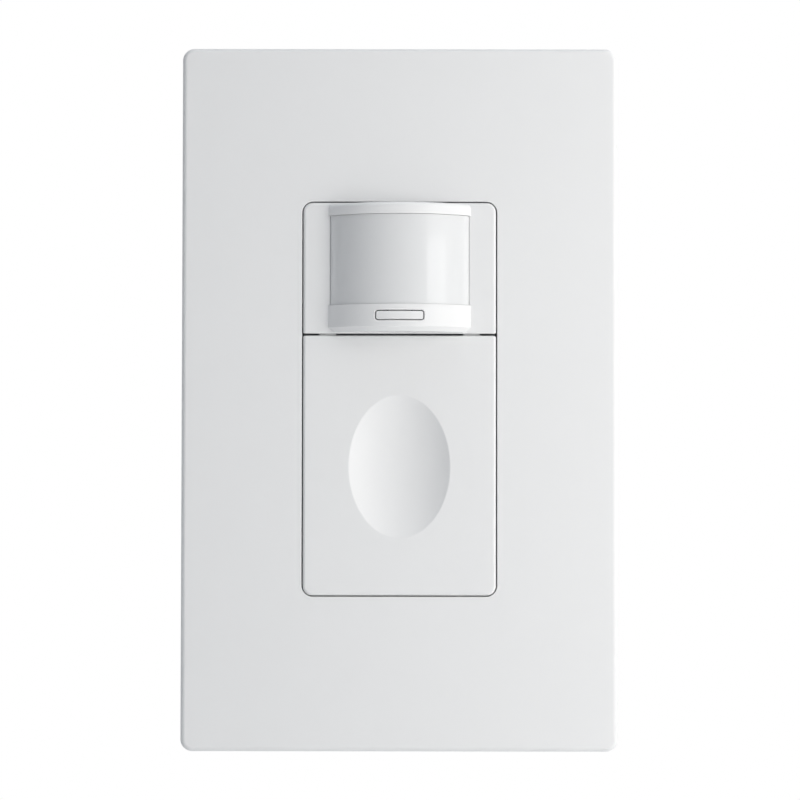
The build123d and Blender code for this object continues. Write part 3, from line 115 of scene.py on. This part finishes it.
class Finish(Nodes):
    """A material with one Principled shader and the nodes that feed it."""

    def __init__(self, name, color, roughness, metallic=0.0, **fixed):
        self.material = bpy.data.materials.new(name)
        self.material.use_nodes = True
        self.material.diffuse_color = (*color, 1)
        super().__init__(self.material.node_tree)
        self.shader = self.tree.nodes["Principled BSDF"]
        self.color = color
        self.set("Base Color", (*color, 1))
        self.set("Roughness", roughness)
        self.set("Metallic", metallic)
        for socket, value in fixed.items():
            self.set(socket.replace("_", " "), value)
        self.place = self.node("ShaderNodeTexCoord", {}, {}, "Object")

    def set(self, socket, value):
        """Gives one of the shader's sockets a plain value or a link."""
        self.feed(self.shader.inputs[socket], value)

    def stretched(self, factors):
        """Object coordinates stretched by three factors."""
        return self.node("ShaderNodeMapping", {}, {"Vector": self.place, "Scale": factors})

    def noise(self, scale, detail=2.0, place=None):
        """Noise from 0 to 1 with so many waves to the metre."""
        return self.node(
            "ShaderNodeTexNoise", {},
            {"Vector": place or self.place, "Scale": scale, "Detail": detail},
        )

    def tint(self, mask, color):
        """Blends the shader's colour towards another by a mask."""
        socket = self.shader.inputs["Base Color"]
        before = socket.default_value[:]
        if socket.links:
            before = Signal(self, socket.links[0].from_socket)
        mixed = self.node(
            "ShaderNodeMix", {"data_type": "RGBA"}, {0: mask, 6: before, 7: (*color, 1)}, 2,
        )
        self.set("Base Color", mixed)
        return mixed

    def relief(self, height, distance, strength=1.0):
        """Raises the surface by a height from 0 to 1, times a distance in metres."""
        bump = self.node(
            "ShaderNodeBump", {},
            {"Height": height, "Distance": distance, "Strength": strength},
        )
        self.set("Normal", bump)


def moulded(name, color, roughness, grain, grain_depth, **fixed):
    """Moulded plastic with an eroded grain, uneven gloss and faint flow clouding.

    The grain is in waves to the metre, and its depth in metres.
    """
    finish = Finish(name, color, roughness, **fixed)
    cloud = finish.noise(90.0, 3.0)
    fine = finish.noise(grain, 2.0)
    finish.tint(cloud * 0.05, tuple(channel * 0.86 for channel in color))
    finish.set("Roughness", roughness - 0.05 + 0.06 * cloud + 0.04 * fine)
    finish.relief(fine, grain_depth)
    return finish


def dress(finish, *names):
    """Puts a finish on CAD nodes."""
    for name in names:
        node = nodes[name]
        if not node.material_slots:
            node.data.materials.append(finish.material)
        for slot in node.material_slots:
            slot.material = finish.material


plate_white = moulded(
    "plate_white", (0.858, 0.860, 0.861), 0.46, 6000.0, 0.0000015, Specular_IOR_Level=0.4,
)
dress(plate_white, "wall_plate")


# The bezel with its hood, the push pad and the small button are one family of mouldings in the
# same white as the plate, a little glossier than it.
device_white = moulded(
    "device_white", (0.860, 0.862, 0.863), 0.42, 6500.0, 0.0000012, Specular_IOR_Level=0.4,
)
dress(device_white, "front_housing", "push_pad", "mode_button")


# The lens is a thin sheet of milky polyethylene, smooth and slightly waxy outside.
lens_milk = moulded(
    "lens_milk", (0.809, 0.815, 0.820), 0.34, 3000.0, 0.0000006,
    Coat_Weight=1.0, Coat_Roughness=0.02,
)
dress(lens_milk, "lens")


# The mounting frame is a plain white moulding behind the wall plate, with a matt grain.
frame_white = moulded("frame_white", (0.78, 0.785, 0.78), 0.55, 3500.0, 0.000004)
dress(frame_white, "mounting_frame")


# The strap and the plain screws are steel with a bright zinc coating. Rolling leaves fine
# lines along the sheet, and the coating's colour shifts a little from place to place.
def plated(name, color, roughness, along, spots):
    """Plated or bare metal with fine lines, short across the small factor, and cloudy colour."""
    finish = Finish(name, color, roughness, 1.0)
    lines = finish.noise(900.0, 4.0, finish.stretched(along))
    cloud = finish.noise(140.0, 4.0)
    scratches = lines > 0.62
    finish.tint(cloud * 0.45, spots)
    finish.tint(scratches * 0.12, tuple(channel * 0.7 for channel in color))
    finish.set("Roughness", roughness - 0.1 + 0.14 * lines + 0.12 * cloud)
    finish.relief(lines, 0.000004)
    return finish


zinc_bright = plated("zinc_bright", (0.50, 0.51, 0.53), 0.36, (1.0, 1.0, 0.04), (0.41, 0.41, 0.38))
dress(zinc_bright, "mounting_strap", "frame_screws", "box_screws", "housing_screws")


# The box screws have rolled threads, 32 to the inch, below a plain neck. A screw's head and
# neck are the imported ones, and the thread is one ridge run round the shank and tapered.
def active(piece):
    """Selects one piece alone and makes it the active one."""
    bpy.ops.object.select_all(action="DESELECT")
    piece.select_set(True)
    bpy.context.view_layer.objects.active = piece


def bake(piece):
    """Applies every modifier and puts the piece's place into its mesh."""
    active(piece)
    for modifier in list(piece.modifiers):
        bpy.ops.object.modifier_apply(modifier=modifier.name)
    bpy.ops.object.transform_apply(location=True, rotation=True, scale=True)


def packed_copy(node, name):
    """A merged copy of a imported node, to be shaped further."""
    piece = nodes[node].copy()
    piece.data = nodes[node].data.copy()
    piece.name = piece.data.name = name
    bpy.context.collection.objects.link(piece)
    active(piece)
    bpy.ops.object.mode_set(mode="EDIT")
    bpy.ops.mesh.select_all(action="SELECT")
    bpy.ops.mesh.remove_doubles(threshold=0.000001)
    bpy.ops.object.mode_set(mode="OBJECT")
    return piece


def cut(piece, point, outwards):
    """Cuts a piece at a plane and closes it, without what lies outwards."""
    active(piece)
    bpy.ops.object.mode_set(mode="EDIT")
    bpy.ops.mesh.select_all(action="SELECT")
    bpy.ops.mesh.bisect(
        plane_co=point, plane_no=outwards, clear_outer=True, use_fill=True, threshold=0.0000001,
    )
    bpy.ops.object.mode_set(mode="OBJECT")


def threaded_rod(name, crest_r, root_r, pitch, length):
    """A threaded rod along Z, from 0 to its length, with a tapered tip."""
    flank, crest, root = 0.34, 0.14, 0.18
    steps_per_turn, weld = 20, 0.000002
    taper = ((1.6, 0.93), (1.1, 0.93), (0.6, 0.88))
    bpy.ops.object.select_all(action="DESELECT")
    bpy.ops.mesh.primitive_plane_add(size=pitch)
    rod = bpy.context.object
    rod.name = rod.data.name = name
    bpy.ops.object.mode_set(mode="EDIT")
    bpy.ops.mesh.select_all(action="SELECT")
    bpy.ops.mesh.merge(type="CENTER")
    bpy.ops.transform.translate(value=(root_r, 0, -pitch))
    ridge = crest_r - root_r
    for out, share in ((ridge, flank), (0, crest), (-ridge, flank), (0, root)):
        bpy.ops.mesh.extrude_vertices_move(TRANSFORM_OT_translate={"value": (out, 0, share * pitch)})
    bpy.ops.object.mode_set(mode="OBJECT")
    turns = rod.modifiers.new("turns", "SCREW")
    turns.angle, turns.screw_offset = radians(360), pitch
    turns.iterations = int(length / pitch) + 3
    turns.steps = turns.render_steps = steps_per_turn
    turns.use_merge_vertices, turns.merge_threshold = True, weld
    bake(rod)
    bpy.ops.object.mode_set(mode="EDIT")
    bpy.ops.mesh.select_all(action="SELECT")
    bpy.ops.mesh.remove_doubles(threshold=weld)
    bpy.ops.object.mode_set(mode="OBJECT")
    cut(rod, (0, 0, 0), (0, 0, -1))
    cut(rod, (0, 0, length), (0, 0, 1))
    for pitches_back, share in taper:
        for vertex in rod.data.vertices:
            vertex.select = vertex.co.z > length - pitches_back * pitch
        bpy.ops.object.mode_set(mode="EDIT")
        bpy.ops.transform.resize(value=(share, share, 1), center_override=(0, 0, 0))
        bpy.ops.object.mode_set(mode="OBJECT")
    bpy.ops.object.mode_set(mode="EDIT")
    bpy.ops.mesh.select_all(action="SELECT")
    bpy.ops.mesh.normals_make_consistent(inside=False)
    bpy.ops.object.mode_set(mode="OBJECT")
    return rod


neck_end, screw_tip, screw_z = 0.00044, 0.0217, 0.04165
thread_crest_r, thread_root_r, thread_pitch = 0.00175, 0.00134, 0.000794
smooth_below = radians(32)
threaded_screws = packed_copy("box_screws", "threaded_screws")
cut(threaded_screws, (0, neck_end, 0), (0, 1, 0))
for side in (-1, 1):
    screw_thread = threaded_rod(
        "screw_thread", thread_crest_r, thread_root_r, thread_pitch, screw_tip - neck_end,
    )
    screw_thread.rotation_euler = (radians(-90), 0, 0)
    screw_thread.location = (0, neck_end, side * screw_z)
    bake(screw_thread)
    active(threaded_screws)
    screw_thread.select_set(True)
    bpy.ops.object.join()
active(threaded_screws)
bpy.ops.object.shade_smooth_by_angle(angle=smooth_below)
threaded_screws.data.materials.clear()
threaded_screws.data.materials.append(zinc_bright.material)
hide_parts("box_screws")
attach(threaded_screws, "base")


# The ground screw has the same zinc coat, dyed green to mark it.
green_dyed = plated("green_dyed", (0.08, 0.30, 0.13), 0.40, (1.0, 1.0, 1.0), (0.05, 0.20, 0.08))
dress(green_dyed, "ground_screw")


# The retainers and the insulating sheet are vulcanised fibre, grey and slightly hairy.
fibre_grey = Finish("fibre_grey", (0.42, 0.38, 0.33), 0.85)
fibre_hairs = fibre_grey.noise(700.0, 5.0, fibre_grey.stretched((1.0, 1.0, 0.25)))
fibre_grey.tint(fibre_hairs * 0.6, (0.30, 0.27, 0.23))
fibre_grey.relief(fibre_hairs, 0.00004)
dress(fibre_grey, "screw_retainers", "insulating_sheet")


# The tub behind the strap is a black flame-retardant moulding with a coarse matt grain. The
# lens retainer inside is moulded in the same plastic.
tub_black = moulded("tub_black", (0.028, 0.029, 0.031), 0.52, 1500.0, 0.000022)
dress(tub_black, "rear_housing", "lens_retainer")


# The tub's ribs are moulded with it: a frame round the bare panel on its back, a gauge below
# it that shows how much wire to strip, and grip ribs along both sides.
def raised_bar(name, width, height, corner, rise, line=0.0):
    """A raised bar on the plane Y = 0 that faces +Y, or only its outline of a given width."""
    bpy.ops.object.select_all(action="DESELECT")
    bpy.ops.mesh.primitive_plane_add(size=1, rotation=(radians(-90), 0, 0))
    bar = bpy.context.object
    bar.name = bar.data.name = name
    bar.scale = (width, height, 1)
    bake(bar)
    bpy.ops.object.mode_set(mode="EDIT")
    bpy.ops.mesh.select_all(action="SELECT")
    bpy.ops.mesh.bevel(offset=corner, segments=4, affect="VERTICES")
    if line:
        bpy.ops.mesh.select_all(action="SELECT")
        bpy.ops.mesh.inset(thickness=line)
        bpy.ops.mesh.delete(type="FACE")
    bpy.ops.mesh.select_all(action="SELECT")
    bpy.ops.mesh.extrude_region_move(TRANSFORM_OT_translate={"value": (0, rise, 0)})
    bpy.ops.mesh.select_all(action="SELECT")
    bpy.ops.mesh.normals_make_consistent(inside=False)
    bpy.ops.object.mode_set(mode="OBJECT")
    rounding = bar.modifiers.new("rounding", "BEVEL")
    rounding.width, rounding.segments, rounding.limit_method = 0.00014, 2, "ANGLE"
    bake(bar)
    return bar


def joined(pieces, name):
    """Makes one piece of several."""
    active(pieces[0])
    for piece in pieces:
        piece.select_set(True)
    bpy.ops.object.join()
    pieces[0].name = pieces[0].data.name = name
    return pieces[0]


tub_half_width, tub_back, sunk, rib_rise = 0.02175, 0.031, 0.0002, 0.00045
panel_z, gauge_z = 0.0, -0.0283
grip_length, grip_width, grip_corner = 0.0112, 0.0022, 0.0006
grip_depth, grip_spacing, grips_each_way = 0.0228, 0.0085, 3
ribs = []
for width, height, corner, z, line in (
    (0.0310, 0.0470, 0.0020, panel_z, 0.0009),
    (0.0160, 0.0028, 0.0008, gauge_z, 0.0005),
    (0.0120, 0.0008, 0.0002, gauge_z, 0.0),
):
    rib = raised_bar("back_rib", width, height, corner, sunk + rib_rise, line)
    rib.location = (0, tub_back - sunk, z)
    bake(rib)
    ribs.append(rib)
for side in (-1, 1):
    for place in range(-grips_each_way, grips_each_way + 1):
        rib = raised_bar("side_rib", grip_length, grip_width, grip_corner, sunk + rib_rise)
        rib.rotation_euler = (0, 0, radians(-90 * side))
        rib.location = (side * (tub_half_width - sunk), grip_depth, place * grip_spacing)
        bake(rib)
        ribs.append(rib)
tub_ribs = joined(ribs, "tub_ribs")
bpy.ops.object.shade_smooth_by_angle(angle=smooth_below)
tub_ribs.data.materials.append(tub_black.material)
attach(tub_ribs, "base")


# Terminal plates and screws are stamped brass, and nickel plated on the neutral side. The
# sensor's can and pins are nickel too.
brass_stamped = plated(
    "brass_stamped", (0.78, 0.57, 0.24), 0.3, (1.0, 0.1, 1.0), (0.62, 0.40, 0.14),
)
dress(brass_stamped, "line_terminal", "load_terminal", "terminal_screws")

nickel_plated = plated(
    "nickel_plated", (0.68, 0.66, 0.62), 0.26, (1.0, 0.1, 1.0), (0.60, 0.57, 0.52),
)
dress(nickel_plated, "neutral_terminal", "neutral_screw", "pir_can", "pir_pins")


# Both boards are glass laminate under a green solder mask, with copper tracks showing through
# the mask as lighter lines and small tinned pads between them.
board_green = Finish("board_green", (0.02, 0.15, 0.055), 0.35)
board_plane = board_green.node(
    "ShaderNodeMapping", {}, {"Vector": board_green.place, "Rotation": (radians(90), 0, 0)},
)
board_tracks = board_green.node(
    "ShaderNodeTexBrick", {"offset": 0.35, "squash": 1.0},
    {
        "Vector": board_plane,
        "Scale": 260.0, "Mortar Size": 0.09, "Brick Width": 1.7, "Row Height": 0.45,
        "Color1": (0, 0, 0, 1), "Color2": (0, 0, 0, 1), "Mortar": (1, 1, 1, 1),
    },
)
board_green.tint(board_tracks * 0.7, (0.05, 0.26, 0.09))
board_green.relief(board_tracks, 0.00003)
dress(board_green, "sensor_board", "power_board")


# Black parts on the boards: switch bodies, chip, header, relay, capacitor sleeves and choke
# core are moulded or sleeved in black, with a slight sheen.
part_black = moulded("part_black", (0.03, 0.03, 0.032), 0.4, 2500.0, 0.000006)
dress(
    part_black, "pad_switch_body", "mode_switch_body", "controller_chip", "board_connector",
    "relay", "electrolytic_capacitors", "filter_choke", "bridge_rectifier",
)

# The choke is wound with enamelled copper wire, laid turn by turn between the core's flanges.
copper_enamel = Finish("copper_enamel", (0.55, 0.20, 0.07), 0.28, 0.85)
copper_cloud = copper_enamel.noise(900.0, 3.0)
copper_enamel.tint(copper_cloud * 0.5, (0.40, 0.12, 0.04))
copper_enamel.set("Roughness", 0.2 + 0.2 * copper_cloud)
copper_enamel.relief(copper_cloud, 0.000006)

wire_r, wire_pitch, wire_turns, winding_r = 0.00033, 0.0007, 6.5, 0.00376
winding_steps_per_turn = 28
choke_x, winding_start_depth, choke_z = 0.006, 0.01936, 0.008
bpy.ops.object.select_all(action="DESELECT")
bpy.ops.mesh.primitive_circle_add(
    vertices=10, radius=wire_r, location=(winding_r, 0, 0), rotation=(radians(90), 0, 0),
)
choke_winding = bpy.context.object
choke_winding.name = choke_winding.data.name = "choke_winding"
bake(choke_winding)
layer = choke_winding.modifiers.new("layer", "SCREW")
layer.angle, layer.screw_offset = radians(360 * wire_turns), wire_pitch * wire_turns
layer.steps = layer.render_steps = int(winding_steps_per_turn * wire_turns)
bake(choke_winding)
bpy.ops.object.mode_set(mode="EDIT")
bpy.ops.mesh.select_all(action="SELECT")
bpy.ops.mesh.fill_holes(sides=12)
bpy.ops.mesh.select_all(action="SELECT")
bpy.ops.mesh.normals_make_consistent(inside=False)
bpy.ops.object.mode_set(mode="OBJECT")
choke_winding.rotation_euler = (radians(-90), 0, 0)
choke_winding.location = (choke_x, winding_start_depth, choke_z)
bake(choke_winding)
bpy.ops.object.shade_smooth_by_angle(angle=radians(50))
choke_winding.data.materials.append(copper_enamel.material)
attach(choke_winding, "base")


# Trimmer bodies, varistor and fuse resistor have a blue resin coat, the film capacitor a
# yellow one. Dipped resin pools a little, so its gloss and colour are uneven.
def dipped(name, color, dark):
    """Dipped or cast resin with pooled gloss."""
    finish = Finish(name, color, 0.3)
    pools = finish.noise(400.0, 3.0)
    finish.tint(pools * 0.5, dark)
    finish.set("Roughness", 0.2 + 0.25 * pools)
    finish.relief(pools, 0.00003)
    return finish


resin_blue = dipped("resin_blue", (0.03, 0.13, 0.42), (0.02, 0.08, 0.28))
dress(resin_blue, "time_trimmer_body", "light_trimmer_body", "varistor", "fuse_resistor")
resin_yellow = dipped("resin_yellow", (0.72, 0.50, 0.09), (0.55, 0.34, 0.05))
dress(resin_yellow, "film_capacitor")


# Dials and switch plungers are plain pale plastic.
key_pale = moulded("key_pale", (0.66, 0.65, 0.61), 0.5, 2500.0, 0.000004)
dress(key_pale, "time_dial", "light_dial", "pad_switch_plunger", "mode_switch_plunger")


# The sensor's window is a dark filter. The status lamp and the photocell are clear resin.
window_dark = dipped("window_dark", (0.035, 0.02, 0.025), (0.02, 0.012, 0.016))
dress(window_dark, "pir_window")
lamp_clear = dipped("lamp_clear", (0.62, 0.60, 0.52), (0.52, 0.48, 0.38))
dress(lamp_clear, "status_led", "photocell")


# A pale floor and a backdrop, both plain boards. The backdrop looks white to the camera and in
# mirror-like reflections, and otherwise lights the object as a pale board does.
def board(name, size, place, turn):
    """A large flat board of the studio."""
    bpy.ops.object.select_all(action="DESELECT")
    bpy.ops.mesh.primitive_grid_add(
        x_subdivisions=2, y_subdivisions=2, size=size, location=place, rotation=turn,
    )
    made = bpy.context.object
    made.name = name
    return made


studio_white = Finish("studio_white", (0.86, 0.86, 0.86), 0.9)
camera_ray = studio_white.node("ShaderNodeLightPath", {}, {}, "Is Camera Ray")
glow = studio_white.node("ShaderNodeEmission", {}, {"Color": (1, 1, 1, 1), "Strength": 1.0})
plain_board = Signal(studio_white, studio_white.shader.outputs[0])
seen_white = studio_white.node(
    "ShaderNodeMixShader", {},
    {0: camera_ray.highest(camera_ray.beside("Is Glossy Ray")), 1: plain_board, 2: glow},
)
studio_white.feed(studio_white.tree.nodes["Material Output"].inputs["Surface"], seen_white)
board_size, backdrop_depth, floor_z = 6.0, 0.9, -0.17
backdrop = board("backdrop", board_size, (0, backdrop_depth, 0), (radians(90), 0, 0))
backdrop.data.materials.append(studio_white.material)

pale_floor = moulded("pale_floor", (0.82, 0.82, 0.82), 0.8, 300.0, 0.00001)
floor = board("floor", board_size, (0, 0, floor_z), (0, 0, 0))
floor.data.materials.append(pale_floor.material)


# The room is a white tent: dim at the height of the eye and bright overhead, as a ceiling is.
world = bpy.data.worlds.new("studio")
bpy.context.scene.world = world
world.use_nodes = True
horizon_level, overhead_level = 0.055, 1.25
tent_color, seen_color = (0.965, 1.0, 1.05, 1), (1, 1, 1, 1)
tent = Nodes(world.node_tree)
direction = tent.node("ShaderNodeTexCoord", {}, {}, "Generated")
rise = tent.node("ShaderNodeSeparateXYZ", {}, {0: direction}, 2).highest(0.0)
camera_ray = tent.node("ShaderNodeLightPath", {}, {}, "Is Camera Ray")
tent_seen = camera_ray.highest(camera_ray.beside("Is Transmission Ray"))
background = world.node_tree.nodes["Background"]
tent.feed(background.inputs["Color"], tent.node(
    "ShaderNodeMix", {"data_type": "RGBA"}, {0: tent_seen, 6: tent_color, 7: seen_color}, 2,
))
tent_level = horizon_level + overhead_level * rise * rise
tent.feed(background.inputs["Strength"], tent_seen + (1 - tent_seen) * tent_level)


# A lamp on the right, near enough that the left side of the plate falls off, a second one
# behind for the device's back, and a weak card that shows as a pale reflection in the lens.
def lamp(name, place, aim, width, height, power, color, mirrored):
    """A rectangular soft lamp aimed at a point."""
    bpy.ops.object.select_all(action="DESELECT")
    bpy.ops.object.light_add(type="AREA", location=place)
    made = bpy.context.object
    made.name = name
    made.data.shape = "RECTANGLE"
    made.data.size, made.data.size_y = width, height
    made.data.energy = power
    made.data.color = color
    made.rotation_euler = (Vector(aim) - Vector(place)).to_track_quat("-Z", "Y").to_euler()
    made.visible_camera = False
    made.visible_glossy = mirrored
    return made


lamp("key_lamp", (0.252, -0.2165, 0.042), (0, 0, 0), 0.22, 0.30, 0.755, (1.0, 0.982, 0.948), False)
lamp("back_lamp", (0.42, 0.70, 0.38), (0, 0.01, 0), 0.50, 0.50, 2.30, (1.0, 1.0, 1.0), True)
lamp("strip_lamp", (0.684, -0.585, -0.034), (0, 0, -0.034), 0.43, 0.26, 0.39, (1.0, 1.0, 1.0), True)


# The camera looks square at the plate, from a little below its middle and tipped up.
bpy.ops.object.camera_add(location=(0, -0.560, -0.0150))
camera = bpy.context.object
picture_pixels, focal_pixels, sensor_width = 800, 3259.2, 36.0
camera.data.sensor_width = sensor_width
camera.data.lens = focal_pixels / picture_pixels * sensor_width
camera.data.shift_x, camera.data.shift_y = 0.0008, -0.05
camera.rotation_euler = (radians(90 + 2.236), radians(-0.078), 0)
camera.data.clip_start, camera.data.clip_end = 0.01, 20.0
bpy.context.scene.camera = camera
bpy.context.scene.view_settings.view_transform = "Standard"
